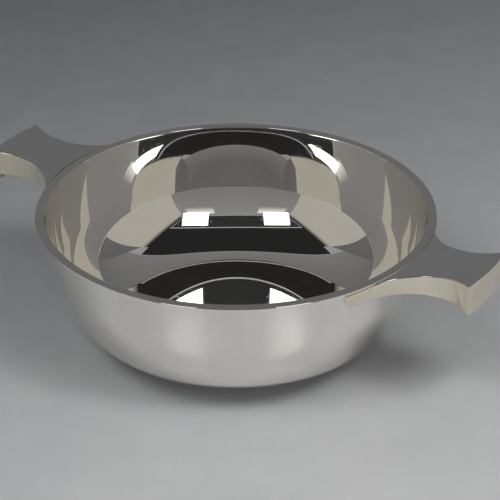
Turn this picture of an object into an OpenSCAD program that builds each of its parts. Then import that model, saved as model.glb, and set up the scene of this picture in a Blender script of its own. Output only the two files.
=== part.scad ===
// Quaich: a round drinking bowl with a flared lip and two flat hollow lugs built from sheet.
// Millimetres, +Z up. The origin is the middle of the flat under the bowl, and the lugs lie along X.

/* [Bowl] */
// Diameter over the rim
rim_d = 104; // [90:1:120]
// Height from the base to the top of the rim
bowl_h = 37; // [34:0.5:42]
// Width of the rim, seen from above
rim_w = 2.5; // [2.2:0.1:2.8]
// Width of the bevel that eases both edges of the rim
rim_ease = 0.35; // [0.2:0.05:0.5]
// Thickness of the floor in the middle of the bowl
floor_t = 3.4; // [2.8:0.1:4]
// Depth planed off the dished underside, which leaves the flat that it stands on
base_cut = 0.9; // [0.5:0.1:1.2]

/* [Outside of the bowl] */
// Lean of the wall from the vertical where it ends in the lip
lip_flare = 20.5; // [18:0.5:23]
// Radius of the hollow curve that flares the lip
lip_arc = 110; // [95:1:125]
// Lean of the wall where the flare turns into the round wall
wall_lean = 13.5; // [12:0.5:15]
// Lean of the wall where it begins to turn under
turn_lean = 36; // [33:0.5:39]
// Radius of the curve by which the wall turns under
turn_arc = 8.4; // [6:0.1:10]
// Lean of the wall where it has turned into the dished underside
floor_edge = 70; // [68:0.5:72]

/* [Inside of the bowl] */
// Depth below the rim at which the inner face turns into the round belly
belly_drop = 16.5; // [15:0.5:18]
// Thickness of the wall at that depth
wall_t = 0.65; // [0.6:0.05:0.8]
// Lean of the inner face at that depth
inner_lean = 16.5; // [15.5:0.1:17.5]
// Lean of the inner face where the belly turns into the nearly flat floor
inner_edge = 87; // [85:0.5:89]

/* [Lugs] */
// Length from the rim to the end face, along the middle of the lug
lug_length = 20.3; // [17:0.1:24]
// Width at the waist
lug_waist = 15.4; // [13:0.1:18]
// Radius of the hollow side, which runs into the rim without a corner
side_arc = 15.1; // [13:0.1:17]
// Width at which the top plate's thin root points are cut off
tip_w = 0.3; // [0.2:0.05:0.5]
// Upward slope of the top plate
lug_rise = 7.5; // [5:0.5:10]
// Depth of the level lower edge of a side strip below the rim
strip_h = 4.5; // [4:0.1:5]
// Depth by which the end strip hangs below the side strips
end_drop = 1; // [0.6:0.1:1.4]
// Length of the tail by which a side strip runs on along the bowl, under the lip
strip_tail = 7.2; // [5:0.1:9]
// Radius of the tail's lower corner
tail_round = 2; // [1:0.1:3]

/* [Sheet] */
// Thickness of the top plate
plate_t = 1.2; // [0.9:0.1:1.4]
// Thickness of a side strip
strip_t = 1.4; // [1:0.1:1.7]
// Thickness of the end strip
end_t = 2; // [1.5:0.1:2.5]
// Thickness of the underside plate
under_t = 1; // [0.8:0.1:1.2]
// Depth by which the underside plate is set up between the strips
under_inset = 0.4; // [0.2:0.1:0.6]
// Gap left for solder between the pieces
solder_gap = 0.05; // [0.03:0.01:0.1]
// Diameter of the vent hole in the underside plate
vent_d = 1.2; // [1:0.1:1.6]

/* [Hidden] */
$fn = 128;
silver = [0.83, 0.82, 0.79];
cut_over = 1;
face_steps = 8;
rim_r = rim_d / 2;
inner_rim_r = rim_r - rim_w;

// A lean is an angle from the vertical, and a point is [distance from the axis, height].
function outward(lean) = [cos(lean), -sin(lean)];
// Slope of the chord from the middle of a dish to the edge where its lean is edge.
function dish_rise(edge) = (1 - sin(edge)) / cos(edge);
// Drop from lean a to lean b along an arc of radius 1, measured against the chord of the dish below it.
function arc_drop(a, b, edge) = sin(b) - sin(a) - (cos(a) - cos(b)) * dish_rise(edge);

// The outside is four arcs that meet without a corner: lip, wall, turn and dish.
// The wall's radius follows from the height, so that the planed dish ends at the base.
lip_c = [rim_r, bowl_h] + lip_arc * outward(lip_flare);
wall_top = lip_c - lip_arc * outward(wall_lean);
wall_arc = (wall_top[1] + base_cut - wall_top[0] * dish_rise(floor_edge)
    - turn_arc * arc_drop(turn_lean, floor_edge, floor_edge)) / arc_drop(wall_lean, turn_lean, floor_edge);
wall_c = wall_top - wall_arc * outward(wall_lean);
turn_top = wall_c + wall_arc * outward(turn_lean);
turn_c = turn_top - turn_arc * outward(turn_lean);
turn_end = turn_c + turn_arc * outward(floor_edge);
dish_arc = turn_end[0] / cos(floor_edge);
dish_c = [0, dish_arc - base_cut];

// The inside is three arcs: face, belly and floor. The face runs from the rim to the point that leaves
// the wall its thickness, and the belly's radius follows from the depth.
belly_z = bowl_h - belly_drop;
belly_top = [wall_c[0] + sqrt(pow(wall_arc, 2) - pow(belly_z - wall_c[1], 2)) - wall_t, belly_z];
face_chord = [inner_rim_r, bowl_h] - belly_top;
half_bend = inner_lean - atan2(face_chord[0], face_chord[1]);
face_arc = norm(face_chord) / 2 / sin(half_bend);
face_turn = 2 * half_bend / face_steps;
face_c = belly_top - face_arc * outward(inner_lean);
belly_arc = (belly_top[1] - floor_t - belly_top[0] * dish_rise(inner_edge))
    / arc_drop(inner_lean, inner_edge, inner_edge);
belly_c = belly_top - belly_arc * outward(inner_lean);
belly_end = belly_c + belly_arc * outward(inner_edge);
floor_arc = belly_end[0] / cos(inner_edge);
floor_c = [0, floor_arc + floor_t];

// The side of a lug in plan is one arc that touches the rim circle from outside.
side_y = lug_waist / 2 + side_arc;
side_x = sqrt(pow(rim_r + side_arc, 2) - pow(side_y, 2));
touch_angle = atan2(side_y, side_x);
tip_angle = sqrt(2 * side_arc * tip_w / rim_r / (rim_r + side_arc)) * 180 / PI;
tail_angle = touch_angle + strip_tail / rim_r * 180 / PI;
root_half_w = rim_r * sin(touch_angle - tip_angle);
touch_half_w = rim_r * sin(touch_angle);
lug_reach = rim_r + lug_length;
end_inner_r = lug_reach - end_t;
root_x = (rim_r - strip_t) * cos(tail_angle) - strip_t;
vent_x = (side_x + end_inner_r) / 2;
strip_low = bowl_h - strip_h;

// Block from the axis out to a width, between two heights.
module axis_block(width, low, high) {
    translate([0, low])
        square([width, high - low]);
}

// Area inside an arc, between two heights.
module arc_slice(centre, radius, low, high) {
    intersection() {
        axis_block(rim_r, low, high);
        translate(centre)
            circle(radius);
    }
}

// Area between the axis and the hollow curve of a lip, between two heights.
module lip_slice(centre, radius, low, high) {
    difference() {
        axis_block(centre[0], low, high);
        translate(centre)
            circle(radius);
    }
}

// Area inside the outside of the bowl. The turn's circle touches the wall's and the dish's from inside.
module outer_profile() {
    lip_slice(lip_c, lip_arc, wall_top[1], bowl_h);
    arc_slice(wall_c, wall_arc, turn_top[1], wall_top[1]);
    axis_block(turn_c[0], turn_end[1], turn_top[1]);
    translate(turn_c)
        circle(turn_arc);
    arc_slice(dish_c, dish_arc, 0, turn_end[1]);
}

// Area inside the inner face, whose slight curve is drawn in straight steps from the belly to the rim.
module face_slice() {
    polygon([
        [0, bowl_h + cut_over],
        [0, belly_z],
        for (step = [0:face_steps]) face_c + face_arc * outward(inner_lean - step * face_turn),
        [inner_rim_r, bowl_h + cut_over],
    ]);
}

// Area that the inside of the bowl takes out of it.
module inner_profile() {
    face_slice();
    axis_block(belly_c[0], belly_end[1], belly_z);
    arc_slice(belly_c, belly_arc, belly_end[1], belly_z);
    arc_slice(floor_c, floor_arc, floor_t - cut_over, belly_end[1]);
}

// Bevels that take the sharp edges off the rim, at its outer and inner corner.
module rim_bevels() {
    reach = 3 * rim_ease;
    for (corner = [[rim_r, 1], [inner_rim_r, -1]])
        translate([corner[0] - corner[1] * rim_ease, bowl_h])
            polygon([[0, 0], [corner[1] * reach, -reach], [corner[1] * reach, cut_over], [0, cut_over]]);
}

// What a lug is cut to where it seats on the bowl's lip.
module bowl_seat() {
    rotate_extrude()
        lip_slice(lip_c, lip_arc - solder_gap, wall_top[1], bowl_h + solder_gap);
}

// Plan of a lug out to the radius end_r, with its sides set in by inset.
module lug_plan(inset, end_r) {
    difference() {
        intersection() {
            circle(end_r);
            translate([root_x, -root_half_w])
                square([end_r, 2 * root_half_w]);
        }
        for (side = [-1, 1])
            translate([side_x, side * side_y])
                circle(side_arc + inset);
    }
}

// Plan of the front side strip: along the hollow side, and on as a tail along the bowl.
module strip_plan() {
    intersection() {
        difference() {
            circle(end_inner_r - solder_gap);
            translate([side_x, -side_y])
                circle(side_arc);
        }
        translate([side_x, -side_y])
            circle(side_arc + strip_t);
        translate([root_x, -touch_half_w])
            square([end_inner_r, touch_half_w]);
    }
    intersection() {
        difference() {
            circle(rim_r);
            circle(rim_r - strip_t);
        }
        polygon([
            [0, 0],
            2 * rim_r * [cos(tail_angle), -sin(tail_angle)],
            2 * rim_r * [cos(touch_angle), -sin(touch_angle)],
        ]);
    }
}

// Slab along the slope of a lug's top face, from low to high above it.
module sloped_slab(low, high, half_w) {
    translate([rim_r, 0, bowl_h])
        rotate([0, -lug_rise, 0])
            translate([root_x - rim_r - lug_length, -half_w, low])
                cube([rim_r + 2 * lug_length, 2 * half_w, high - low]);
}

// Upright sheet with the plan that it is given, from the height low up to the underside of the top plate.
module upright_sheet(low) {
    difference() {
        intersection() {
            translate([0, 0, low])
                linear_extrude(bowl_h)
                    children();
            sloped_slab(-bowl_h, 0, side_y);
        }
        sloped_slab(-plate_t - solder_gap, cut_over, root_half_w + solder_gap);
    }
}

// What rounds off the lower corner of the front strip's tail.
module tail_corner() {
    rotate(-tail_angle)
        translate([rim_r - 2 * strip_t, 0, strip_low])
            difference() {
                translate([0, -cut_over, -cut_over])
                    cube([3 * strip_t, tail_round + cut_over, tail_round + cut_over]);
                translate([-cut_over, tail_round, tail_round])
                    rotate([0, 90, 0])
                        cylinder(h = 3 * strip_t + 2 * cut_over, r = tail_round);
            }
}

// The bowl, one sheet with a flared lip and a flat planed under its dished floor.
module bowl() {
    color(silver)
        rotate_extrude()
            difference() {
                outer_profile();
                inner_profile();
                rim_bevels();
            }
}

// The flat plate on top of a lug.
module lug_top_plate() {
    color(silver)
        difference() {
            intersection() {
                linear_extrude(2 * bowl_h)
                    lug_plan(0, lug_reach);
                sloped_slab(-plate_t, 0, side_y);
            }
            bowl_seat();
        }
}

// The level plate that closes a lug from below, set up between the strips, with its vent hole.
module lug_underside_plate() {
    color(silver)
        difference() {
            translate([0, 0, strip_low + under_inset])
                linear_extrude(under_t)
                    lug_plan(strip_t + solder_gap, end_inner_r - solder_gap);
            bowl_seat();
            translate([vent_x, 0, 0])
                cylinder(h = 2 * bowl_h, d = vent_d);
        }
}

// The curved strip along the front of a lug.
module lug_side_strip() {
    color(silver)
        difference() {
            upright_sheet(strip_low)
                strip_plan();
            tail_corner();
            bowl_seat();
        }
}

// The strip across the end of a lug, against which the side strips butt.
module lug_end_strip() {
    color(silver)
        upright_sheet(strip_low - end_drop)
            difference() {
                lug_plan(0, lug_reach);
                circle(end_inner_r);
            }
}

// The lugs: the left one mirrors the right one, and a rear strip mirrors a front one.
module left_lug_top_plate() { mirror([1, 0, 0]) lug_top_plate(); }
module left_lug_underside_plate() { mirror([1, 0, 0]) lug_underside_plate(); }
module left_lug_front_side_strip() { mirror([1, 0, 0]) lug_side_strip(); }
module left_lug_rear_side_strip() { mirror([0, 1, 0]) left_lug_front_side_strip(); }
module left_lug_end_strip() { mirror([1, 0, 0]) lug_end_strip(); }
module right_lug_top_plate() { lug_top_plate(); }
module right_lug_underside_plate() { lug_underside_plate(); }
module right_lug_front_side_strip() { lug_side_strip(); }
module right_lug_rear_side_strip() { mirror([0, 1, 0]) lug_side_strip(); }
module right_lug_end_strip() { lug_end_strip(); }

bowl();
left_lug_top_plate();
left_lug_underside_plate();
left_lug_front_side_strip();
left_lug_rear_side_strip();
left_lug_end_strip();
right_lug_top_plate();
right_lug_underside_plate();
right_lug_front_side_strip();
right_lug_rear_side_strip();
right_lug_end_strip();
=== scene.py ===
"""Dresses a quaich: a polished silver drinking bowl with two hollow lugs of sheet, shown in a light tent.

Sizes are in millimetres, as a silversmith gives them, and turn into metres where a mesh is made.
"""

import logging
import math
from collections.abc import Callable, Sequence
from dataclasses import dataclass, field, replace
from enum import Enum
from functools import partial

import bmesh
import bpy
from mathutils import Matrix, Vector


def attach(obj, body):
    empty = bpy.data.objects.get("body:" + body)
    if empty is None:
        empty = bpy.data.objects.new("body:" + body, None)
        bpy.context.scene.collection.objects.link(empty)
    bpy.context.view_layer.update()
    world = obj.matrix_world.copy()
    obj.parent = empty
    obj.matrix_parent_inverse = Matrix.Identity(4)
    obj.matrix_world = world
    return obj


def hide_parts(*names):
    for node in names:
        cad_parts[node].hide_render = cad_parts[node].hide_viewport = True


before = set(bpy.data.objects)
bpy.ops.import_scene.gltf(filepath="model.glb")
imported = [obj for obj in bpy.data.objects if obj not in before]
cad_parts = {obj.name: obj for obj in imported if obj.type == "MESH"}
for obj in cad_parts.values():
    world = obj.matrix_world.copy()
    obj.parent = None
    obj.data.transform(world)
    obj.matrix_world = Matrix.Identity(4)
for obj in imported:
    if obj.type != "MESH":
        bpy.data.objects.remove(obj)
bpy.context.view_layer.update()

MM = 0.001
BODY = "root"
SHARP_ANGLE = 32
MIRROR_BOUNCES = 16
Point2 = tuple[float, float]
Point3 = tuple[float, float, float]
Colour = tuple[float, float, float]
SURROUNDINGS: Colour = (0.3, 0.305, 0.31)

log = logging.getLogger("quaich")


class Side(Enum):
    """Which lug a piece belongs to, with the sign of its X."""

    LEFT = -1
    RIGHT = 1


class Face(Enum):
    """Which edge of a lug a strip runs along, with the sign of its Y."""

    FRONT = -1
    REAR = 1


class Polish(Enum):
    """How the last polishing lines run."""

    TURNED = "turned"
    DRAWN = "drawn"


def polar(radius: float, degrees: float) -> Point2:
    """Point at a distance and an angle from the origin."""
    angle = math.radians(degrees)
    return radius * math.cos(angle), radius * math.sin(angle)


def outward(lean: float) -> Vector:
    """Direction (from the axis, up) out of a wall that leans from the vertical by degrees."""
    return Vector(polar(1, -lean))


def spread(start: float, end: float, count: int) -> list[float]:
    """Evenly spaced values from start to end, both included."""
    return [start + (end - start) * k / (count - 1) for k in range(count)]


def rounding(radius: float, steps: int) -> list[Point2]:
    """Quarter round as (set in, drop) pairs, from the side of an edge to its top.

    Args:
        radius: Radius of the round.
        steps: Number of flats that make the round.

    Returns:
        Pairs that start at (0, radius) and end at (radius, 0).
    """
    turns = [math.pi / 2 * k / steps for k in range(steps + 1)]
    return [(radius * (1 - math.cos(t)), radius * (1 - math.sin(t))) for t in turns]


def mesh_object(name: str, mesh: bpy.types.Mesh) -> bpy.types.Object:
    """Links a mesh to the scene as an object at the origin.

    Args:
        name: Name of the new object.
        mesh: Mesh that it shows.

    Returns:
        The object.
    """
    obj = bpy.data.objects.new(name, mesh)
    bpy.context.scene.collection.objects.link(obj)
    return obj


def face_outwards(mesh: bpy.types.Mesh) -> None:
    """Turns every face of a closed mesh outwards.

    Args:
        mesh: Mesh to turn, changed in place.
    """
    shell = bmesh.new()
    shell.from_mesh(mesh)
    bmesh.ops.recalc_face_normals(shell, faces=shell.faces)
    shell.to_mesh(mesh)
    shell.free()


def loft(name: str, rings: Sequence[Sequence[Point3]]) -> bpy.types.Mesh:
    """Closed skin through rings of points, with a flat cap on the first and the last ring.

    Args:
        name: Name of the new mesh.
        rings: Closed rings of equally many points, in millimetres.

    Returns:
        A mesh in metres, with faces outwards, smooth but for its caps and sharp corners.
    """
    count = len(rings[0])
    verts = [Vector(p) * MM for ring in rings for p in ring]
    faces = [tuple(range(count)), tuple(range((len(rings) - 1) * count, len(rings) * count))]
    for k in range(len(rings) - 1):
        for j in range(count):
            here, after = k * count + j, k * count + (j + 1) % count
            faces.append((here, after, after + count, here + count))
    mesh = bpy.data.meshes.new(name)
    mesh.from_pydata(verts, [], faces)
    face_outwards(mesh)
    mesh.shade_smooth()
    mesh.set_sharp_from_angle(angle=math.radians(SHARP_ANGLE))
    caps = {frozenset(pair) for pair in mesh.polygons[0].edge_keys}
    caps |= {frozenset(pair) for pair in mesh.polygons[1].edge_keys}
    for edge in mesh.edges:
        if frozenset(edge.vertices) in caps:
            edge.use_edge_sharp = True
    return mesh


class NodeSheet:
    """Short way to add and join the nodes of one tree."""

    def __init__(self, tree: bpy.types.NodeTree) -> None:
        """Keeps the tree that the nodes go into."""
        self.tree = tree

    def add(self, kind: str, settings: dict | None = None, **sockets: object) -> bpy.types.Node:
        """Adds a node.

        Args:
            kind: Blender's type name of the node.
            settings: Properties of the node by name.
            **sockets: Inputs by name, with spaces as underscores; a socket is linked, a value is set.

        Returns:
            The new node.
        """
        node = self.tree.nodes.new(kind)
        for key, value in (settings or {}).items():
            setattr(node, key, value)
        for key, value in sockets.items():
            self.feed(node.inputs[key.replace("_", " ")], value)
        return node

    def feed(self, socket: bpy.types.NodeSocket, value: object) -> None:
        """Links a socket to the input, or sets the input's value.

        Args:
            socket: Input of a node.
            value: Socket to link, or value to set.
        """
        if isinstance(value, bpy.types.NodeSocket):
            self.tree.links.new(value, socket)
        else:
            socket.default_value = value

    def calc(self, operation: str, *terms: object) -> bpy.types.NodeSocket:
        """Result of a math node on sockets or numbers, given in order.

        Args:
            operation: Blender's name of the operation.
            *terms: Sockets or numbers.

        Returns:
            The socket of the result.
        """
        node = self.tree.nodes.new("ShaderNodeMath")
        node.operation = operation
        for socket, term in zip(node.inputs, terms):
            self.feed(socket, term)
        return node.outputs[0]

    def vector(self, operation: str, *terms: object) -> bpy.types.Node:
        """Vector math node on sockets or values, given in order.

        Args:
            operation: Blender's name of the operation.
            *terms: Sockets or vectors.

        Returns:
            The node, whose output depends on the operation.
        """
        node = self.tree.nodes.new("ShaderNodeVectorMath")
        node.operation = operation
        for socket, term in zip(node.inputs, terms):
            self.feed(socket, term)
        return node

    def ramp(
        self, value: object, start: float, end: float, low: float = 0.0, high: float = 1.0,
    ) -> bpy.types.NodeSocket:
        """Value that goes from low to high while the input goes from start to end, and stays there.

        Args:
            value: Socket or number to read.
            start: Input at which the result is low.
            end: Input at which the result is high.
            low: Result at the start.
            high: Result at the end.

        Returns:
            The socket of the result.
        """
        node = self.add(
            "ShaderNodeMapRange", Value=value, From_Min=start, From_Max=end, To_Min=low, To_Max=high,
        )
        return node.outputs["Result"]

    def blend(self, share: object, first: Colour, second: Colour) -> bpy.types.NodeSocket:
        """Colour that goes from the first to the second as the share goes from 0 to 1.

        Args:
            share: Socket or number from 0 to 1.
            first: Colour at 0.
            second: Colour at 1.

        Returns:
            The socket of the colour.
        """
        mix = self.add("ShaderNodeMix", {"data_type": "RGBA"})
        for place, value in ((0, share), (6, (*first, 1)), (7, (*second, 1))):
            self.feed(mix.inputs[place], value)
        return mix.outputs[2]


@dataclass(frozen=True)
class SilverFinish:
    """Polished silver with hairlines, stray scratches and faint clouds of tarnish.

    Spacings and depths are in metres.
    """

    name: str
    slot: str
    polish: Polish
    bright: Colour
    dull: Colour
    roughness: Point2
    line_spacing: float
    line_length: float
    line_depth: float
    scratch_depth: float
    cloud_size: float
    cloud_span: Point2 = (0.3, 0.7)
    tarnish_span: Point2 = (0.35, 0.7)
    scratch_turns: tuple[Point3, ...] = ((20, 35, 10), (-40, 15, 75), (60, -30, 130))
    scratch_scale: Point3 = (40, 1400, 1400)
    scratch_level: float = 0.66
    scratch_band: float = 0.004
    scratch_haze: float = 0.1

    def lines(self, sheet: NodeSheet, place: bpy.types.NodeSocket) -> bpy.types.NodeSocket:
        """Fine lines of the last polishing.

        Args:
            sheet: Tree of the material.
            place: Object coordinates.

        Returns:
            Socket with values about 0.5.
        """
        if self.polish is Polish.TURNED:
            flat = sheet.vector("MULTIPLY", place, (1, 1, 0))
            around = sheet.vector("NORMALIZE", flat.outputs["Vector"])
            reach = sheet.vector("LENGTH", flat.outputs["Vector"])
            height = sheet.add("ShaderNodeSeparateXYZ", Vector=place)
            climb = sheet.calc("ADD", reach.outputs["Value"], height.outputs["Z"])
            across = sheet.calc("DIVIDE", climb, self.line_spacing)
            stretched = sheet.vector("SCALE", around.outputs["Vector"])
            rim_radius = BowlSizes().rim_r * MM
            sheet.feed(stretched.inputs["Scale"], rim_radius / self.line_length)
            lift = sheet.add("ShaderNodeCombineXYZ", Z=across)
            spot = sheet.vector("ADD", stretched.outputs["Vector"], lift.outputs["Vector"]).outputs["Vector"]
        else:
            along, fine = 1 / self.line_length, 1 / self.line_spacing
            spot = sheet.vector("MULTIPLY", place, (along, along, fine)).outputs["Vector"]
        noise = sheet.add("ShaderNodeTexNoise", Vector=spot, Scale=1.0, Detail=3.0, Roughness=0.6)
        return noise.outputs["Fac"]

    def scratches(self, sheet: NodeSheet, place: bpy.types.NodeSocket) -> bpy.types.NodeSocket:
        """Sparse thin scratches from use, in a few directions.

        Args:
            sheet: Tree of the material.
            place: Object coordinates.

        Returns:
            Socket that is 1 in a scratch and 0 beside it.
        """
        total: object = 0.0
        for turn in self.scratch_turns:
            angles = [math.radians(a) for a in turn]
            turned = sheet.add("ShaderNodeMapping", Vector=place, Rotation=angles, Scale=self.scratch_scale)
            noise = sheet.add("ShaderNodeTexNoise", Vector=turned.outputs["Vector"], Scale=1.0, Detail=1.0)
            near = sheet.calc("COMPARE", noise.outputs["Fac"], self.scratch_level, self.scratch_band)
            total = sheet.calc("ADD", total, near)
        return sheet.calc("MINIMUM", total, 1.0)

    def material(self) -> bpy.types.Material:
        """Gives the material, which is built the first time.

        Returns:
            The material of this finish.
        """
        made = bpy.data.materials.get(self.name)
        if made:
            return made
        made = bpy.data.materials.new(self.name)
        made.use_nodes = True
        sheet = NodeSheet(made.node_tree)
        shader = made.node_tree.nodes["Principled BSDF"]
        place = sheet.add("ShaderNodeTexCoord").outputs["Object"]
        scratches = self.scratches(sheet, place)
        clouds = sheet.add(
            "ShaderNodeTexNoise", Vector=place, Scale=1 / self.cloud_size, Detail=3.0, Roughness=0.55,
        ).outputs["Fac"]
        haze = sheet.ramp(clouds, *self.cloud_span, *self.roughness)
        tarnish = sheet.ramp(clouds, *self.tarnish_span)
        relief = sheet.calc("MULTIPLY", self.lines(sheet, place), self.line_depth)
        relief = sheet.calc("MULTIPLY_ADD", scratches, -self.scratch_depth, relief)
        bump = sheet.add("ShaderNodeBump", Height=relief, Strength=1.0, Distance=1.0)
        sheet.feed(shader.inputs["Base Color"], sheet.blend(tarnish, self.bright, self.dull))
        sheet.feed(shader.inputs["Metallic"], 1.0)
        sheet.feed(shader.inputs["Roughness"], sheet.calc("MULTIPLY_ADD", scratches, self.scratch_haze, haze))
        sheet.feed(shader.inputs["Normal"], bump.outputs["Normal"])
        return made


BOWL_FINISH = SilverFinish(
    name="bowl_polish",
    slot="bowl_silver",
    polish=Polish.TURNED,
    bright=(0.95, 0.93, 0.895),
    dull=(0.91, 0.885, 0.84),
    roughness=(0.006, 0.016),
    line_spacing=0.0004,
    line_length=0.03,
    line_depth=4e-8,
    scratch_depth=1.2e-7,
    cloud_size=0.02,
)
LUG_FINISH = SilverFinish(
    name="lug_polish",
    slot="lug_silver",
    polish=Polish.DRAWN,
    bright=(0.95, 0.935, 0.92),
    dull=(0.91, 0.89, 0.86),
    roughness=(0.08, 0.14),
    line_spacing=0.00035,
    line_length=0.02,
    line_depth=6e-7,
    scratch_depth=6e-7,
    cloud_size=0.008,
)
# Painted reflection: the strips' silver is tinted warm cream, standing in for the cream cloth of the tent
# that they mirror.
STRIP_CREAM_REFLECTION_FINISH = replace(LUG_FINISH, name="strip_polish", bright=(0.92, 0.86, 0.75), dull=(0.82, 0.74, 0.60))


@dataclass(frozen=True)
class ProfileArc:
    """Round stretch of the bowl's profile, from one lean of the wall to another.

    Points are (from the axis, height) in millimetres, and leans are degrees from the vertical.
    """

    name: str
    start: Vector
    leans: Point2
    radius: float
    points: int
    hollow: bool = False

    @property
    def reach(self) -> float:
        """Radius, negative where the centre lies outside the bowl."""
        return -self.radius if self.hollow else self.radius

    @property
    def centre(self) -> Vector:
        """Centre of the arc."""
        return self.start - self.reach * outward(self.leans[0])

    @property
    def end(self) -> Vector:
        """Last point of the arc."""
        return self.centre + self.reach * outward(self.leans[1])

    @property
    def start_angle(self) -> float:
        """Angle about the centre at which the arc starts, in degrees."""
        return 180 - self.leans[0] if self.hollow else -self.leans[0]

    @property
    def sweep(self) -> float:
        """Angle about the centre that the arc covers, in degrees."""
        return self.leans[0] - self.leans[1]


@dataclass(frozen=True)
class ProfileLine:
    """Straight stretch of the bowl's profile between two (from the axis, height) points."""

    name: str
    start: Vector
    end: Vector
    points: int


@dataclass(frozen=True)
class BowlSizes:
    """Driving sizes of the bowl and the profile that follows from them, in millimetres and degrees.

    The wall is thinner and its inner face leans more than in the solid, as the reflections ask for.
    """

    rim_d: float = 104.0
    height: float = 37.0
    rim_w: float = 2.5
    rim_round: float = 0.25
    floor_t: float = 3.4
    base_cut: float = 0.9
    lip_flare: float = 20.5
    lip_arc: float = 110.0
    wall_lean: float = 13.5
    turn_lean: float = 36.0
    turn_arc: float = 8.4
    floor_edge: float = 70.0
    belly_drop: float = 16.5
    wall_t: float = 0.3
    inner_lean: float = 17.0
    inner_edge: float = 87.0

    @property
    def rim_r(self) -> float:
        """Radius over the rim."""
        return self.rim_d / 2

    @property
    def lip_c(self) -> Vector:
        """Centre of the hollow curve that flares the lip."""
        return Vector((self.rim_r, self.height)) + self.lip_arc * outward(self.lip_flare)

    def wall_r(self, z: float) -> float:
        """Outer radius of the lip at a height."""
        return self.lip_c.x - math.sqrt(self.lip_arc**2 - (z - self.lip_c.y) ** 2)

    @staticmethod
    def dish_rise(edge: float) -> float:
        """Slope of the chord from the middle of a dish to the edge where it has a lean."""
        return (1 - math.sin(math.radians(edge))) / math.cos(math.radians(edge))

    def arc_drop(self, upper: float, lower: float, edge: float) -> float:
        """Drop between two leans on an arc of radius 1, against the chord of the dish that ends at a lean."""
        run, fall = outward(upper) - outward(lower)
        return fall - run * self.dish_rise(edge)

    def rim_edge(self, name: str, centre: Vector, reach: float, side: int) -> ProfileArc:
        """Small round on one edge of the rim, from the top of the rim to the wall.

        Args:
            name: Name of the arc.
            centre: Centre of the wall's curve below that edge.
            reach: Radius of the wall's curve, negative where its centre lies outside the bowl.
            side: 1 on the outer edge, -1 on the inner edge.

        Returns:
            The arc.
        """
        edge_reach = reach - side * self.rim_round
        lean = math.asin((centre.y - self.height + self.rim_round) / edge_reach)
        top = Vector((centre.x + edge_reach * math.cos(lean), self.height))
        leans = (-90 * side, math.degrees(lean))
        return ProfileArc(name, top, leans, self.rim_round, points=8, hollow=side < 0)

    def outside(self) -> list[ProfileArc]:
        """Arcs of the outer surface, from the rim to the flat under the bowl.

        Returns:
            The arcs in order.
        """
        edge = self.rim_edge("outer edge", self.lip_c, -self.lip_arc, 1)
        lip_leans = (edge.leans[1], self.wall_lean)
        lip = ProfileArc("outer lip", edge.end, lip_leans, self.lip_arc, points=28, hollow=True)
        drop = lip.end.y + self.base_cut - lip.end.x * self.dish_rise(self.floor_edge)
        drop -= self.turn_arc * self.arc_drop(self.turn_lean, self.floor_edge, self.floor_edge)
        wall_arc = drop / self.arc_drop(self.wall_lean, self.turn_lean, self.floor_edge)
        wall = ProfileArc("wall", lip.end, (self.wall_lean, self.turn_lean), wall_arc, points=40)
        turn = ProfileArc("turn", wall.end, (self.turn_lean, self.floor_edge), self.turn_arc, points=22)
        dish_arc = turn.end.x / math.cos(math.radians(self.floor_edge))
        foot = math.degrees(math.asin(1 - self.base_cut / dish_arc))
        dish = ProfileArc("underside", turn.end, (self.floor_edge, foot), dish_arc, points=22)
        return [edge, lip, wall, turn, dish]

    def inside(self) -> list[ProfileArc]:
        """Arcs of the inner surface, from the rim to the middle of the floor.

        The face below the rim runs to the point that leaves the wall its thickness.

        Returns:
            The arcs in order.
        """
        wall = self.outside()[2]
        belly_z = self.height - self.belly_drop
        wall_x = wall.centre.x + math.sqrt(wall.radius**2 - (belly_z - wall.centre.y) ** 2)
        belly_top = Vector((wall_x - self.wall_t, belly_z))
        chord = Vector((self.rim_r - self.rim_w, self.height)) - belly_top
        half_bend = math.radians(self.inner_lean) - math.atan2(chord.x, chord.y)
        face_arc = chord.length / 2 / math.sin(half_bend)
        edge = self.rim_edge("inner edge", belly_top - face_arc * outward(self.inner_lean), face_arc, -1)
        face = ProfileArc("face", edge.end, (edge.leans[1], self.inner_lean), face_arc, points=48)
        depth = belly_z - self.floor_t - belly_top.x * self.dish_rise(self.inner_edge)
        belly_arc = depth / self.arc_drop(self.inner_lean, self.inner_edge, self.inner_edge)
        belly = ProfileArc("belly", face.end, (self.inner_lean, self.inner_edge), belly_arc, points=72)
        floor_arc = belly.end.x / math.cos(math.radians(self.inner_edge))
        floor = ProfileArc("floor", belly.end, (self.inner_edge, 90), floor_arc, points=28)
        return [edge, face, belly, floor]

    def flats(self) -> list[ProfileLine]:
        """Straight stretches: the flat under the bowl and the top of the rim.

        Returns:
            The two lines.
        """
        outer, inner = self.outside(), self.inside()
        return [
            ProfileLine("base", Vector((0, 0)), outer[-1].end, points=6),
            ProfileLine("rim", inner[0].start, outer[0].start, points=7),
        ]


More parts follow.
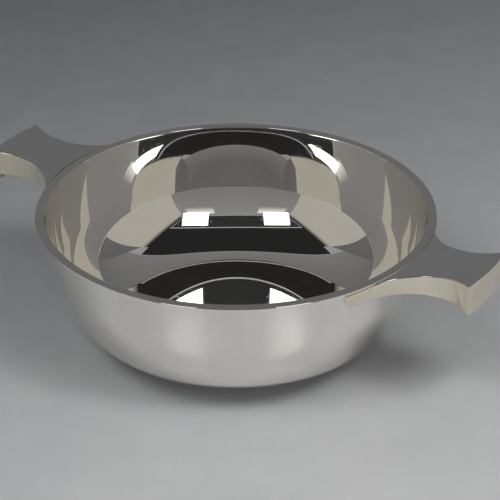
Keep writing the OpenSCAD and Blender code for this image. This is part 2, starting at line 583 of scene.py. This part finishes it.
@dataclass
class LatheTree:
    """Node tree that turns a profile about the upright axis and planishes it a little."""

    arcs: list[ProfileArc]
    lines: list[ProfileLine]
    turn_points: int = 320
    weld: float = 1e-6
    values: dict[str, object] = field(default_factory=dict)
    tree: bpy.types.NodeTree | None = None
    entry: bpy.types.Node | None = None

    def size(self, name: str, kind: str, value: object) -> bpy.types.NodeSocket:
        """Adds a named input to the tree.

        Args:
            name: Name of the input.
            kind: Blender's socket type.
            value: Value that the modifier will set.

        Returns:
            The socket inside the tree.
        """
        socket = self.tree.interface.new_socket(name, in_out="INPUT", socket_type=kind)
        self.values[socket.identifier] = value
        return self.entry.outputs[name]

    def run_of_arc(self, sheet: NodeSheet, arc: ProfileArc) -> bpy.types.NodeSocket:
        """Curve of one round stretch.

        Args:
            sheet: Tree of the lathe.
            arc: Stretch to draw.

        Returns:
            The socket of the curve.
        """
        length = "NodeSocketFloat"
        curve = sheet.add(
            "GeometryNodeCurveArc",
            {"mode": "RADIUS"},
            Resolution=arc.points,
            Radius=self.size(f"{arc.name} radius", length, arc.radius * MM),
            Start_Angle=self.size(f"{arc.name} start", length, math.radians(arc.start_angle)),
            Sweep_Angle=self.size(f"{arc.name} sweep", length, math.radians(arc.sweep)),
        )
        place = self.size(f"{arc.name} centre", "NodeSocketVector", (*(arc.centre * MM), 0))
        moved = sheet.add("GeometryNodeTransform", Geometry=curve.outputs["Curve"], Translation=place)
        return moved.outputs["Geometry"]

    def run_of_line(self, sheet: NodeSheet, line: ProfileLine) -> bpy.types.NodeSocket:
        """Curve of one straight stretch.

        Args:
            sheet: Tree of the lathe.
            line: Stretch to draw.

        Returns:
            The socket of the curve.
        """
        curve = sheet.add(
            "GeometryNodeCurvePrimitiveLine",
            Start=self.size(f"{line.name} start", "NodeSocketVector", (*(line.start * MM), 0)),
            End=self.size(f"{line.name} end", "NodeSocketVector", (*(line.end * MM), 0)),
        )
        cut = sheet.add(
            "GeometryNodeResampleCurve", {"mode": "COUNT"}, Curve=curve.outputs[0], Count=line.points,
        )
        return cut.outputs["Curve"]

    def build(self, sizes: BowlSizes, planish: "Planish", material: bpy.types.Material) -> None:
        """Builds the tree.

        Args:
            sizes: Sizes of the bowl, for the circle that the profile is carried along.
            planish: Depth and size of the hammer's faint marks.
            material: Finish of the whole surface.
        """
        self.tree = bpy.data.node_groups.new("bowl_lathe", "GeometryNodeTree")
        self.tree.interface.new_socket("Geometry", in_out="OUTPUT", socket_type="NodeSocketGeometry")
        self.entry = self.tree.nodes.new("NodeGroupInput")
        sheet = NodeSheet(self.tree)
        runs = sheet.add("GeometryNodeJoinGeometry")
        for arc in self.arcs:
            sheet.feed(runs.inputs[0], self.run_of_arc(sheet, arc))
        for line in self.lines:
            sheet.feed(runs.inputs[0], self.run_of_line(sheet, line))
        circle_r = self.size("path radius", "NodeSocketFloat", sizes.rim_r * MM)
        back = sheet.add("ShaderNodeCombineXYZ", X=sheet.calc("MULTIPLY", circle_r, -1.0))
        section = sheet.add(
            "GeometryNodeTransform", Geometry=runs.outputs[0], Translation=back.outputs[0], Scale=(1, -1, 1),
        )
        path = sheet.add(
            "GeometryNodeCurvePrimitiveCircle",
            Resolution=self.size("turn points", "NodeSocketInt", self.turn_points),
            Radius=circle_r,
        )
        swept = sheet.add(
            "GeometryNodeCurveToMesh", Curve=path.outputs["Curve"], Profile_Curve=section.outputs["Geometry"],
        )
        welded = sheet.add("GeometryNodeMergeByDistance", Geometry=swept.outputs["Mesh"], Distance=self.weld)
        beaten = planish.mark(sheet, self, welded.outputs["Geometry"], sizes.height * MM)
        smooth = sheet.add("GeometryNodeSetShadeSmooth", Geometry=beaten)
        real = sheet.add("GeometryNodeRealizeInstances", Geometry=smooth.outputs["Geometry"])
        dressed = sheet.add(
            "GeometryNodeSetMaterial",
            Geometry=real.outputs["Geometry"],
            Material=self.size("finish", "NodeSocketMaterial", material),
        )
        leave = self.tree.nodes.new("NodeGroupOutput")
        sheet.feed(leave.inputs["Geometry"], dressed.outputs["Geometry"])

    def mesh(self, name: str) -> bpy.types.Mesh:
        """Runs the tree on an empty object and returns the plain mesh that it makes.

        Args:
            name: Name of the new mesh.

        Returns:
            The mesh, with faces outwards.
        """
        carrier = mesh_object(name, bpy.data.meshes.new(name))
        modifier = carrier.modifiers.new("lathe", "NODES")
        modifier.node_group = self.tree
        for identifier, value in self.values.items():
            modifier[identifier] = value
        evaluated = carrier.evaluated_get(bpy.context.evaluated_depsgraph_get())
        made = bpy.data.meshes.new_from_object(evaluated)
        bpy.data.objects.remove(carrier)
        face_outwards(made)
        made.name = name
        return made


@dataclass(frozen=True)
class Planish:
    """Faint unevenness that the hammer leaves under the polish, in metres."""

    depth: float = 1e-5
    size: float = 0.022
    seed: float = 4.0
    clear: float = 0.004

    def mark(
        self, sheet: NodeSheet, lathe: LatheTree, geometry: bpy.types.NodeSocket, height: float,
    ) -> bpy.types.NodeSocket:
        """Moves the surface in and out by a smooth noise, but not the base and the rim.

        Args:
            sheet: Tree of the lathe.
            lathe: Lathe that gets the named inputs.
            geometry: Surface to mark.
            height: Height of the rim.

        Returns:
            The marked surface.
        """
        place = sheet.add("GeometryNodeInputPosition").outputs[0]
        noise = sheet.add(
            "ShaderNodeTexNoise",
            {"noise_dimensions": "4D"},
            Vector=place,
            W=lathe.size("hammer seed", "NodeSocketFloat", self.seed),
            Scale=lathe.size("hammer marks per metre", "NodeSocketFloat", 1 / self.size),
            Detail=1.0,
        )
        level = sheet.add("ShaderNodeSeparateXYZ", Vector=place).outputs["Z"]
        above_base = sheet.ramp(level, 0.0, self.clear)
        below_rim = sheet.ramp(level, height, height - self.clear)
        full_depth = lathe.size("hammer depth", "NodeSocketFloat", 2 * self.depth)
        depth = sheet.calc("MULTIPLY", above_base, full_depth)
        depth = sheet.calc("MULTIPLY", depth, below_rim)
        depth = sheet.calc("MULTIPLY", depth, sheet.calc("SUBTRACT", noise.outputs[0], 0.5))
        push = sheet.vector("SCALE", sheet.add("GeometryNodeInputNormal").outputs[0])
        sheet.feed(push.inputs["Scale"], depth)
        moved = sheet.add("GeometryNodeSetPosition", Geometry=geometry, Offset=push.outputs["Vector"])
        return moved.outputs["Geometry"]


@dataclass
class Bowl:
    """The round bowl, one sheet of silver."""

    sizes: BowlSizes = field(default_factory=BowlSizes)
    planish: Planish = field(default_factory=Planish)
    finish: SilverFinish = BOWL_FINISH

    def build(self) -> list[bpy.types.Object]:
        """Makes the bowl and puts it in the place of its solid.

        Returns:
            The bowl, as a list of one piece.
        """
        lathe = LatheTree(self.sizes.outside() + self.sizes.inside(), self.sizes.flats())
        lathe.build(self.sizes, self.planish, self.finish.material())
        shell = mesh_object("bowl_shell", lathe.mesh("bowl_shell"))
        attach(shell, BODY)
        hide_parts("bowl")
        return [shell]


@dataclass(frozen=True)
class LugSizes:
    """Driving sizes of a lug and what follows from them, in millimetres and degrees, for the lug at +X."""

    bowl: BowlSizes = field(default_factory=BowlSizes)
    length: float = 20.3
    waist: float = 15.4
    side_arc: float = 15.1
    tip_w: float = 0.3
    rise: float = 7.5
    strip_h: float = 4.5
    end_drop: float = 1.0
    tail: float = 7.2
    tail_round: float = 2.0
    plate_t: float = 1.2
    strip_t: float = 1.4
    end_t: float = 2.0
    top_round: float = 0.28
    low_round: float = 0.4
    corner: float = 0.45
    top_land: float = 0.08
    low_land: float = 0.1
    joint: float = 0.01

    @property
    def side_y(self) -> float:
        """Distance of the hollow side's centre from the lug's middle."""
        return self.waist / 2 + self.side_arc

    @property
    def centre_r(self) -> float:
        """Distance of the hollow side's centre from the bowl's axis."""
        return self.bowl.rim_r + self.side_arc

    @property
    def side_x(self) -> float:
        """X of the hollow side's centre."""
        return math.sqrt(self.centre_r**2 - self.side_y**2)

    @property
    def touch(self) -> float:
        """Angle round the bowl at which the hollow side touches the rim."""
        return math.degrees(math.atan2(self.side_y, self.side_x))

    @property
    def root_half_w(self) -> float:
        """Half the width over the top plate's cut-off root points."""
        tip = math.sqrt(2 * self.side_arc * self.tip_w / self.bowl.rim_r / self.centre_r)
        return self.bowl.rim_r * math.sin(math.radians(self.touch) - tip)

    @property
    def reach(self) -> float:
        """Distance of the end face from the bowl's axis."""
        return self.bowl.rim_r + self.length - self.joint

    @property
    def end_inner_r(self) -> float:
        """Distance of the end strip's inner face from the bowl's axis."""
        return self.reach - self.end_t

    @property
    def plate_drop(self) -> float:
        """Upright thickness of the sloping top plate."""
        return self.plate_t / math.cos(math.radians(self.rise))

    @property
    def strip_low(self) -> float:
        """Height of the side strips' level lower edge."""
        return self.bowl.height - self.strip_h

    def top_z(self, x: float) -> float:
        """Height of the top face."""
        return self.bowl.height + (x - self.bowl.rim_r) * math.tan(math.radians(self.rise))

    def side_point(self, inset: float, degrees: float) -> Point2:
        """Point of the front hollow side, set into the lug, at an angle about that side's centre."""
        x, y = polar(self.side_arc + inset, degrees)
        return self.side_x + x, y - self.side_y

    def side_angle(self, inset: float, radius: float) -> float:
        """Angle about the front side's centre at which that side lies at a distance from the bowl's axis.

        Args:
            inset: Distance by which the side is set in.
            radius: Distance from the bowl's axis.

        Returns:
            The angle in degrees.
        """
        arc = self.side_arc + inset
        cosine = (radius**2 - self.centre_r**2 - arc**2) / (2 * arc * self.centre_r)
        return math.degrees(math.acos(cosine)) - self.touch

    def corner_run(self, inset: float, radius: float, count: int) -> list[Point2]:
        """Rounded front corner of the lug's plan, from the hollow side to the end face.

        Args:
            inset: Distance by which the outline is set in.
            radius: Distance of the end face from the bowl's axis.
            count: Number of points.

        Returns:
            The points of the round.
        """
        turn = self.side_angle(inset, radius)
        sharp = Vector(self.side_point(inset, turn))
        before = Vector(self.side_point(inset, turn + math.degrees(self.corner / self.side_arc)))
        bearing = math.degrees(math.atan2(sharp.y, sharp.x) + self.corner / radius)
        after = Vector(polar(radius, bearing))
        run = []
        for t in spread(0, 1, count):
            run.append(tuple((1 - t) ** 2 * before + 2 * t * (1 - t) * sharp + t**2 * after))
        return run


@dataclass
class Lug:
    """One hollow lug: a top plate, two side strips and an end strip round a plate that closes it below."""

    side: Side
    sizes: LugSizes = field(default_factory=LugSizes)
    plate_finish: SilverFinish = LUG_FINISH
    strip_finish: SilverFinish = STRIP_CREAM_REFLECTION_FINISH
    edge_slope: float = 0.7

    def free_edge(self, inset: float, start: float, count: int) -> list[Point2]:
        """Plan of a lug's free edges: front side, end and rear side.

        Args:
            inset: Distance by which the edges are set in.
            start: Angle about the front side's centre at which the run starts.
            count: Number of points along a side.

        Returns:
            The points, from the front round the end to the rear.
        """
        s = self.sizes
        end_r = s.reach - inset
        turn = s.side_angle(inset, end_r) + math.degrees(s.corner / s.side_arc)
        front = [s.side_point(inset, a) for a in spread(start, turn, count)[:-1]]
        front += s.corner_run(inset, end_r, count=6)
        bearing = math.degrees(math.atan2(-front[-1][1], front[-1][0]))
        end = [polar(end_r, a) for a in spread(-bearing, bearing, count=26)[1:-1]]
        rear = [(x, -y) for x, y in reversed(front)]
        return front + end + rear

    def plate_outline(self, inset: float) -> list[Point2]:
        """Plan of the top plate, with its free edges set in.

        Args:
            inset: Distance by which the free edges are set in.

        Returns:
            The closed outline.
        """
        s = self.sizes
        root = math.degrees(math.pi - math.asin((s.side_y - s.root_half_w) / (s.side_arc + inset)))
        seam_r = s.bowl.rim_r + s.joint
        seam = math.degrees(math.asin(s.root_half_w / seam_r))
        seam_run = [polar(seam_r, a) for a in spread(seam, -seam, count=40)]
        return self.free_edge(inset, root, count=56) + seam_run

    def end_outline(self, inset: float) -> list[Point2]:
        """Plan of the end strip, with its free edges set in.

        Args:
            inset: Distance by which the free edges are set in.

        Returns:
            The closed outline.
        """
        s = self.sizes
        outer = self.free_edge(inset, s.side_angle(inset, s.end_inner_r), count=6)
        bearing = math.degrees(math.atan2(outer[-1][1], outer[-1][0]))
        return outer + [polar(s.end_inner_r, a) for a in spread(bearing, -bearing, count=20)[1:-1]]

    def top_plate(self) -> list[list[Point3]]:
        """Rings of the top plate, from its underside to its face.

        Returns:
            Rings for the lug at +X.
        """
        s = self.sizes
        levels = [(0.0, s.plate_drop), (0.0, s.top_round + s.top_land)] + rounding(s.top_round, steps=5)
        rings = []
        for inset, drop in levels:
            rings.append([(x, y, s.top_z(x) - drop) for x, y in self.plate_outline(inset)])
        return rings

    def end_strip(self) -> list[list[Point3]]:
        """Rings of the end strip, from its lower edge up to the plate.

        Returns:
            Rings for the lug at +X.
        """
        s = self.sizes
        foot = s.strip_low - s.end_drop
        levels = rounding(s.low_round, steps=6)[::-1] + [(0.0, s.low_round + s.low_land)]
        rings = []
        for inset, lift in levels:
            rings.append([(x, y, foot + lift) for x, y in self.end_outline(inset)])
        rings.append([(x, y, s.top_z(x) - s.plate_drop - s.joint) for x, y in self.end_outline(0.0)])
        return rings

    def side_strip(self) -> list[list[Point3]]:
        """Rings of the front side strip, from the end of its tail to the end strip.

        Returns:
            Rings for the lug at +X.
        """
        s = self.sizes
        per_mm = math.degrees(1 / s.bowl.rim_r)
        tail_end = s.touch + s.tail * per_mm
        rings = []
        for back, lift in rounding(s.tail_round, steps=9):
            rings.append(self.strip_ring(partial(self.tail_point, tail_end - back * per_mm), lift))
        for angle in spread(tail_end - s.tail_round * per_mm, s.touch, count=12)[1:]:
            rings.append(self.strip_ring(partial(self.tail_point, angle), 0.0))
        for share in spread(0, 1, count=60)[1:]:
            rings.append(self.strip_ring(partial(self.side_share, share), 0.0))
        return rings

    def tail_point(self, angle: float, inset: float) -> Point2:
        """Plan point of the front strip's tail at an angle round the bowl, set in."""
        return polar(self.sizes.bowl.rim_r - inset, -angle)

    def side_share(self, share: float, inset: float) -> Point2:
        """Plan point of the front strip at a share of the way along the hollow side, set in.

        Args:
            share: 0 at the rim, 1 at the end strip.
            inset: Distance from the outer face.

        Returns:
            The point.
        """
        s = self.sizes
        start = 180 - s.touch
        end = s.side_angle(inset, s.end_inner_r - s.joint)
        return s.side_point(inset, start + (end - start) * share)

    def strip_ring(self, plan: Callable[[float], Point2], lift: float) -> list[Point3]:
        """Section of the front side strip at one place, kept clear of the bowl.

        Args:
            plan: Gives the plan point there for a distance set in from the outer face.
            lift: Height of the lower edge above its level run.

        Returns:
            The closed section.
        """
        s = self.sizes
        foot = [(inset, s.strip_low + lift + rise) for inset, rise in rounding(s.low_round, steps=6)]
        foot.append((s.strip_t, s.strip_low + lift))
        section = [(foot[-1][0], None)] + foot[::-1] + [(0.0, None)]
        ring = []
        for inset, z in section:
            x, y = plan(inset)
            if z is None:
                under_plate = abs(y) < s.root_half_w
                z = s.top_z(x) - s.joint - (s.plate_drop if under_plate else s.bowl.rim_round)
            stretch = max(1.0, (s.bowl.wall_r(z) + s.joint) / math.hypot(x, y))
            ring.append((x * stretch, y * stretch, z))
        return ring

    def place(self, rings: list[list[Point3]], face: Face = Face.FRONT) -> list[list[Point3]]:
        """Mirrors rings made for the front of the lug at +X to this lug and that face."""
        across, along = self.side.value, -face.value
        return [[(across * x, along * y, z) for x, y, z in ring] for ring in rings]

    def build(self) -> list[bpy.types.Object]:
        """Makes the lug's pieces and puts them in the place of their solids.

        Returns:
            The pieces, of which the underside plate is the solid itself.
        """
        lug = f"{self.side.name.lower()}_lug"
        skins = {
            "top_plate": self.place(self.top_plate()),
            "end_strip": self.place(self.end_strip()),
        }
        for face in Face:
            skins[f"{face.name.lower()}_side_strip"] = self.place(self.side_strip(), face)
        made = []
        for part, rings in skins.items():
            piece = mesh_object(f"{lug}_{part}_sheet", loft(f"{lug}_{part}_sheet", rings))
            # The strips take the finish with the painted cream reflection tinted into its colour.
            finish = self.plate_finish if part == "top_plate" else self.strip_finish
            piece.data.materials.append(finish.material())
            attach(piece, BODY)
            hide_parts(f"{lug}_{part}")
            made.append(piece)
        self.dress_edges(made[0])
        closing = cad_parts[f"{lug}_underside_plate"]
        for place in closing.material_slots:
            place.material = self.plate_finish.material()
        return [*made, closing]

    def dress_edges(self, plate: bpy.types.Object) -> None:
        """Gives the plate's upright edges the strips' finish, whose warm cream tint is a painted reflection
        of the cream cloth, since the edges are filed flush with the strips.

        Args:
            plate: Top plate, changed in place.
        """
        plate.data.materials.append(self.strip_finish.material())
        for face in plate.data.polygons:
            if abs(face.normal.z) < self.edge_slope:
                face.material_index = 1


@dataclass(frozen=True)
class PhotoCamera:
    """Camera at the photograph's viewing angle, aimed a little beside and below the rim's middle."""

    azimuth: float = 31.69
    elevation: float = 27.5
    distance: float = 0.5091
    aim_right: float = 0.0036
    aim_down: float = 0.0109
    lens: float = 141.4
    sensor_w: float = 36.0
    nearest: float = 0.01
    target: Point3 = (0.0, 0.0, 0.037)

    @property
    def toward(self) -> Vector:
        """Level direction from the target to the camera."""
        a = math.radians(self.azimuth)
        return Vector((math.sin(a), -math.cos(a), 0))

    @property
    def right(self) -> Vector:
        """Direction to the right in the picture."""
        a = math.radians(self.azimuth)
        return Vector((math.cos(a), math.sin(a), 0))

    @property
    def back(self) -> Vector:
        """Direction from the target to the camera."""
        level, climb = polar(1, self.elevation)
        return self.toward * level + Vector((0, 0, climb))

    def build(self) -> None:
        """Makes the camera and sets it as the scene's."""
        data = bpy.data.cameras.new("camera")
        camera = bpy.data.objects.new("camera", data)
        bpy.context.scene.collection.objects.link(camera)
        up = self.back.cross(self.right)
        aim = Vector(self.target) + self.right * self.aim_right - up * self.aim_down
        camera.location = Vector(self.target) + self.back * self.distance
        camera.rotation_mode = "QUATERNION"
        camera.rotation_quaternion = (aim - camera.location).to_track_quat("-Z", "Y")
        data.sensor_width = self.sensor_w
        data.lens = self.lens
        data.clip_start = self.nearest
        bpy.context.scene.camera = camera


@dataclass(frozen=True)
class Card:
    """One flat sheet of the light tent, given from the rim's middle in tent units.

    A corner and two edges are (towards the camera, to its right, up), and glow is the brightness
    at the start and at the end of the edge called rise.
    """

    name: str
    corner: Point3
    run: Point3
    rise: Point3
    colour: Colour
    glow: Point2


@dataclass
class LightTent:
    """Plain soft light: pale sheets at the sides, grey ones in front and behind, a dark roof and two lamps.

    Places and lengths are in tent units, in which the roof hangs at 1 above the rim's middle. A glow is
    the brightness at the start and at the end of a sheet.
    """

    camera: PhotoCamera
    unit: float = 0.52
    half_w: float = 0.727
    back_half_w: float = 1.6
    low: float = -0.05
    front: float = 0.75
    front_low: float = 0.125
    front_h: float = 0.84
    front_glow: Point2 = (0.19, 0.26)
    gap_back: float = 0.1
    gap_low: float = -0.07
    gap_h: float = 0.22
    roof_front: float = 0.335
    roof_back: float = -0.36
    edge_w: float = 0.02
    edge_glow: Point2 = (0.5, 0.5)
    line_w: float = 0.012
    line_glow: Point2 = (0.3, 0.3)
    bay_colour: Colour = (0.9, 1.0, 1.0)
    bay_glow: Point2 = (0.03, 0.03)
    back: float = -1.05
    back_top: float = 0.68
    back_glow: Point2 = (0.16, 0.13)
    slope_glow: Point2 = (0.13, 0.19)
    wing_glow: Point2 = (0.14, 0.12)
    side_rear: float = -0.18
    side_top: float = 0.95
    side_glow: Point2 = (0.4, 0.4)
    fade_h: float = 0.1
    fade_glow: Point2 = (0.4, 0.05)
    lamp_middle: Point3 = (0.535, 0.435, 0.86)
    lamp_w: float = 0.31
    lamp_slope: Point3 = (0.23, 0, -0.28)
    left_lamp: float = 3.0
    right_lamp: float = 4.0
    halo_off: float = 0.43
    halo_gap: float = 0.005
    halo_w: float = 0.36
    halo_low: float = 0.62
    halo_h: float = 0.24
    halo_glow: Point2 = (0.24, 0.9)
    lamp_size: float = 0.2
    power: Point2 = (1.75, 2.4)
    fill: float = 0.5
    fill_height: float = 0.2
    dark: Point2 = (0.018, 0.018)
    cream: Colour = (1.0, 0.97, 0.87)
    grey: Colour = (0.97, 0.98, 1.0)
    white: Colour = (1.0, 0.98, 0.94)

    def middle_cards(self) -> list[Card]:
        """Sheets across the tent, from the front over the roof to the back.

        Returns:
            The cards.
        """
        w, f, rear = self.half_w, self.front, -self.back_half_w
        run, wide = (0, 2 * w, 0), (0, 2 * self.back_half_w, 0)
        line_f = self.roof_back - self.line_w
        gap = (f + self.gap_back, -w, self.gap_low)
        bay = (self.roof_front + self.edge_w, -w, 1 + self.edge_w)
        bay_depth = (f - self.roof_front, 0, 0)
        roof_depth = (self.roof_front - self.roof_back, 0, 0)
        slope = (line_f - self.back, 0, 1 - self.back_top)
        front_climb, climb = (0, 0, self.front_h), (0, 0, self.back_top - self.low)
        return [
            Card("front_sheet", (f, -w, self.front_low), run, front_climb, self.grey, self.front_glow),
            Card("front_gap", gap, run, (0, 0, self.gap_h), self.grey, self.dark),
            Card("lamp_bay", bay, run, bay_depth, self.bay_colour, self.bay_glow),
            Card("roof_edge", (self.roof_front, -w, 1), run, (self.edge_w, 0, 0), self.grey, self.edge_glow),
            Card("roof", (self.roof_back, -w, 1), run, roof_depth, self.grey, self.dark),
            Card("roof_line", (line_f, -w, 1), run, (self.line_w, 0, 0), self.grey, self.line_glow),
            Card("back_slope", (self.back, rear, self.back_top), wide, slope, self.grey, self.slope_glow),
            Card("back_sheet", (self.back, rear, self.low), wide, climb, self.grey, self.back_glow),
        ]

    def side_cards(self, name: str, side: int, lamp: float) -> list[Card]:
        """Sheets and lamp on one side.

        Args:
            name: Name of the side.
            side: 1 to the right of the camera, -1 to its left.
            lamp: Brightness of the lamp.

        Returns:
            The cards.
        """
        w, rear = side * self.half_w, self.side_rear
        run = (self.front - rear, 0, 0)
        wing = (self.back - rear, side * (self.back_half_w - self.half_w), 0)
        bend = self.side_top - self.fade_h
        climb, fade, gap = ((0, 0, h) for h in (bend - self.low, self.fade_h, 1 - self.side_top))
        lamp_run, halo_run = (0, self.lamp_w, 0), (0, self.halo_w, 0)
        lamp_corner = self.lamp_place(side) - (Vector(lamp_run) + Vector(self.lamp_slope)) / 2
        halo_corner = (self.front - self.halo_gap, side * self.halo_off - self.halo_w / 2, self.halo_low)
        return [
            Card(f"{name}_wing", (rear, w, self.low), wing, climb, self.grey, self.wing_glow),
            Card(f"{name}_sheet", (rear, w, self.low), run, climb, self.cream, self.side_glow),
            Card(f"{name}_fade", (rear, w, bend), run, fade, self.cream, self.fade_glow),
            Card(f"{name}_gap", (rear, w, self.side_top), run, gap, self.cream, self.dark),
            Card(f"{name}_lamp", tuple(lamp_corner), lamp_run, self.lamp_slope, self.white, (lamp, lamp)),
            Card(f"{name}_halo", halo_corner, halo_run, (0, 0, self.halo_h), self.white, self.halo_glow),
        ]

    def cards(self) -> list[Card]:
        """Every sheet of the tent."""
        sides = self.side_cards("left", -1, self.left_lamp) + self.side_cards("right", 1, self.right_lamp)
        return self.middle_cards() + sides

    def lamp_place(self, side: int) -> Vector:
        """Middle of a lamp in tent units, to the right of the camera for 1 and to its left for -1."""
        forward, across, up = self.lamp_middle
        return Vector((forward, side * across, up))

    def spot(self, place: Vector) -> Vector:
        """Point of the scene for a place in tent units."""
        level = self.camera.toward * place.x + self.camera.right * place.y + Vector((0, 0, place.z))
        return Vector(self.camera.target) + level * self.unit

    def card_mesh(self, card: Card) -> bpy.types.Mesh:
        """One sheet, with its brightness as an attribute.

        Args:
            card: Sheet to make.

        Returns:
            A mesh of one face.
        """
        corner, run, rise = (Vector(v) for v in (card.corner, card.run, card.rise))
        verts = [self.spot(p) for p in (corner, corner + run, corner + run + rise, corner + rise)]
        mesh = bpy.data.meshes.new(card.name)
        mesh.from_pydata(verts, [], [(0, 1, 2, 3)])
        start, end = card.glow
        mesh.attributes.new("glow", "FLOAT", "POINT").data.foreach_set("value", [start, start, end, end])
        return mesh

    def card_material(self, card: Card) -> bpy.types.Material:
        """Evenly glowing cloth of one colour.

        Args:
            card: Sheet to dress.

        Returns:
            The material.
        """
        made = bpy.data.materials.new(card.name)
        made.use_nodes = True
        made.node_tree.nodes.clear()
        sheet = NodeSheet(made.node_tree)
        glow = sheet.add("ShaderNodeAttribute", {"attribute_name": "glow"})
        light = sheet.add("ShaderNodeEmission", Color=(*card.colour, 1), Strength=glow.outputs["Fac"])
        sheet.add("ShaderNodeOutputMaterial", Surface=light.outputs["Emission"])
        return made

    def build(self) -> None:
        """Hangs every sheet, unseen by the camera itself."""
        for card in self.cards():
            hung = mesh_object(card.name, self.card_mesh(card))
            hung.data.materials.append(self.card_material(card))
            hung.visible_camera = False
        self.soft_light("left_key_light", self.lamp_place(-1), self.power[0])
        self.soft_light("right_key_light", self.lamp_place(1), self.power[1])
        self.soft_light("front_fill_light", Vector((self.front, 0, self.fill_height)), self.fill)

    def soft_light(self, name: str, place: Vector, power: float) -> None:
        """Soft lamp that lights the floor and casts shadows, but isn't mirrored in the silver.

        Args:
            name: Name of the lamp.
            place: Place in tent units.
            power: Power in watts.
        """
        data = bpy.data.lights.new(name, "AREA")
        data.energy = power
        data.size = self.lamp_size
        light = bpy.data.objects.new(name, data)
        bpy.context.scene.collection.objects.link(light)
        light.location = self.spot(place)
        light.rotation_mode = "QUATERNION"
        light.rotation_quaternion = (Vector(self.camera.target) - light.location).to_track_quat("-Z", "Y")
        light.visible_glossy = False


@dataclass(frozen=True)
class Floor:
    """Plain pale floor with a faint sheen, and painted shade that darkens it a little away from the camera
    and to its left.
    """

    camera: PhotoCamera
    half_size: float = 3.0
    pale: Colour = (0.44, 0.445, 0.455)
    far_painted_shade: Colour = (0.185, 0.195, 0.21)
    left: float = 0.65
    painted_shade_span: Point2 = (-0.12, 0.28)
    mottle_scale: float = 60.0
    mottle_span: Point2 = (0.3, 0.7)
    mottle_depth: float = 0.06
    roughness: float = 0.18

    def build(self) -> None:
        """Makes the floor and its paper."""
        s = self.half_size
        mesh = bpy.data.meshes.new("floor")
        mesh.from_pydata([(-s, -s, 0), (s, -s, 0), (s, s, 0), (-s, s, 0)], [], [(0, 1, 2, 3)])
        floor = mesh_object("floor", mesh)
        made = bpy.data.materials.new("floor_paper")
        made.use_nodes = True
        sheet = NodeSheet(made.node_tree)
        shader = made.node_tree.nodes["Principled BSDF"]
        place = sheet.add("ShaderNodeTexCoord").outputs["Object"]
        # Painted shade: the floor's colour darkens towards the back and to the left, where less light falls.
        painted_shade = self.fall(sheet, place, -self.camera.toward - self.left * self.camera.right)
        mottle = sheet.add(
            "ShaderNodeTexNoise", Vector=place, Scale=self.mottle_scale, Detail=6.0, Roughness=0.7,
        )
        grain = sheet.ramp(mottle.outputs["Fac"], *self.mottle_span, -self.mottle_depth, self.mottle_depth)
        share = sheet.calc("ADD", painted_shade, grain)
        sheet.feed(shader.inputs["Base Color"], sheet.blend(share, self.pale, self.far_painted_shade))
        sheet.feed(shader.inputs["Roughness"], self.roughness)
        mesh.materials.append(made)

    def fall(self, sheet: NodeSheet, place: bpy.types.NodeSocket, along: Vector) -> bpy.types.NodeSocket:
        """Share of the painted far shade in the floor's colour, from 0 in front of the bowl to 1 well behind
        it.
        """
        across = sheet.vector("DOT_PRODUCT", place, along)
        return sheet.ramp(across.outputs["Value"], *self.painted_shade_span)


def plain_world(colour: Colour) -> None:
    """Even pale surroundings beyond the floor.

    Args:
        colour: Colour of the surroundings.
    """
    world = bpy.data.worlds.new("surroundings")
    bpy.context.scene.world = world
    world.use_nodes = True
    world.node_tree.nodes["Background"].inputs["Color"].default_value = (*colour, 1)


def deep_mirrors(bounces: int) -> None:
    """Lets light run along the inside of the bowl, where a mirror image is often mirrored again."""
    bpy.context.scene.cycles.max_bounces = bounces
    bpy.context.scene.cycles.glossy_bounces = bounces


def main() -> None:
    """Builds the pieces in order, then the stage."""
    logging.basicConfig(level=logging.INFO, format="%(name)s: %(message)s")
    camera = PhotoCamera()
    camera.build()
    for assembly in (Bowl(), Lug(Side.LEFT), Lug(Side.RIGHT)):
        for piece in assembly.build():
            log.info("%s, %d faces", piece.name, len(piece.data.polygons))
    Floor(camera).build()
    LightTent(camera).build()
    plain_world(SURROUNDINGS)
    deep_mirrors(MIRROR_BOUNCES)
    bpy.context.scene.view_settings.view_transform = "Standard"


if __name__ == "__main__":
    main()
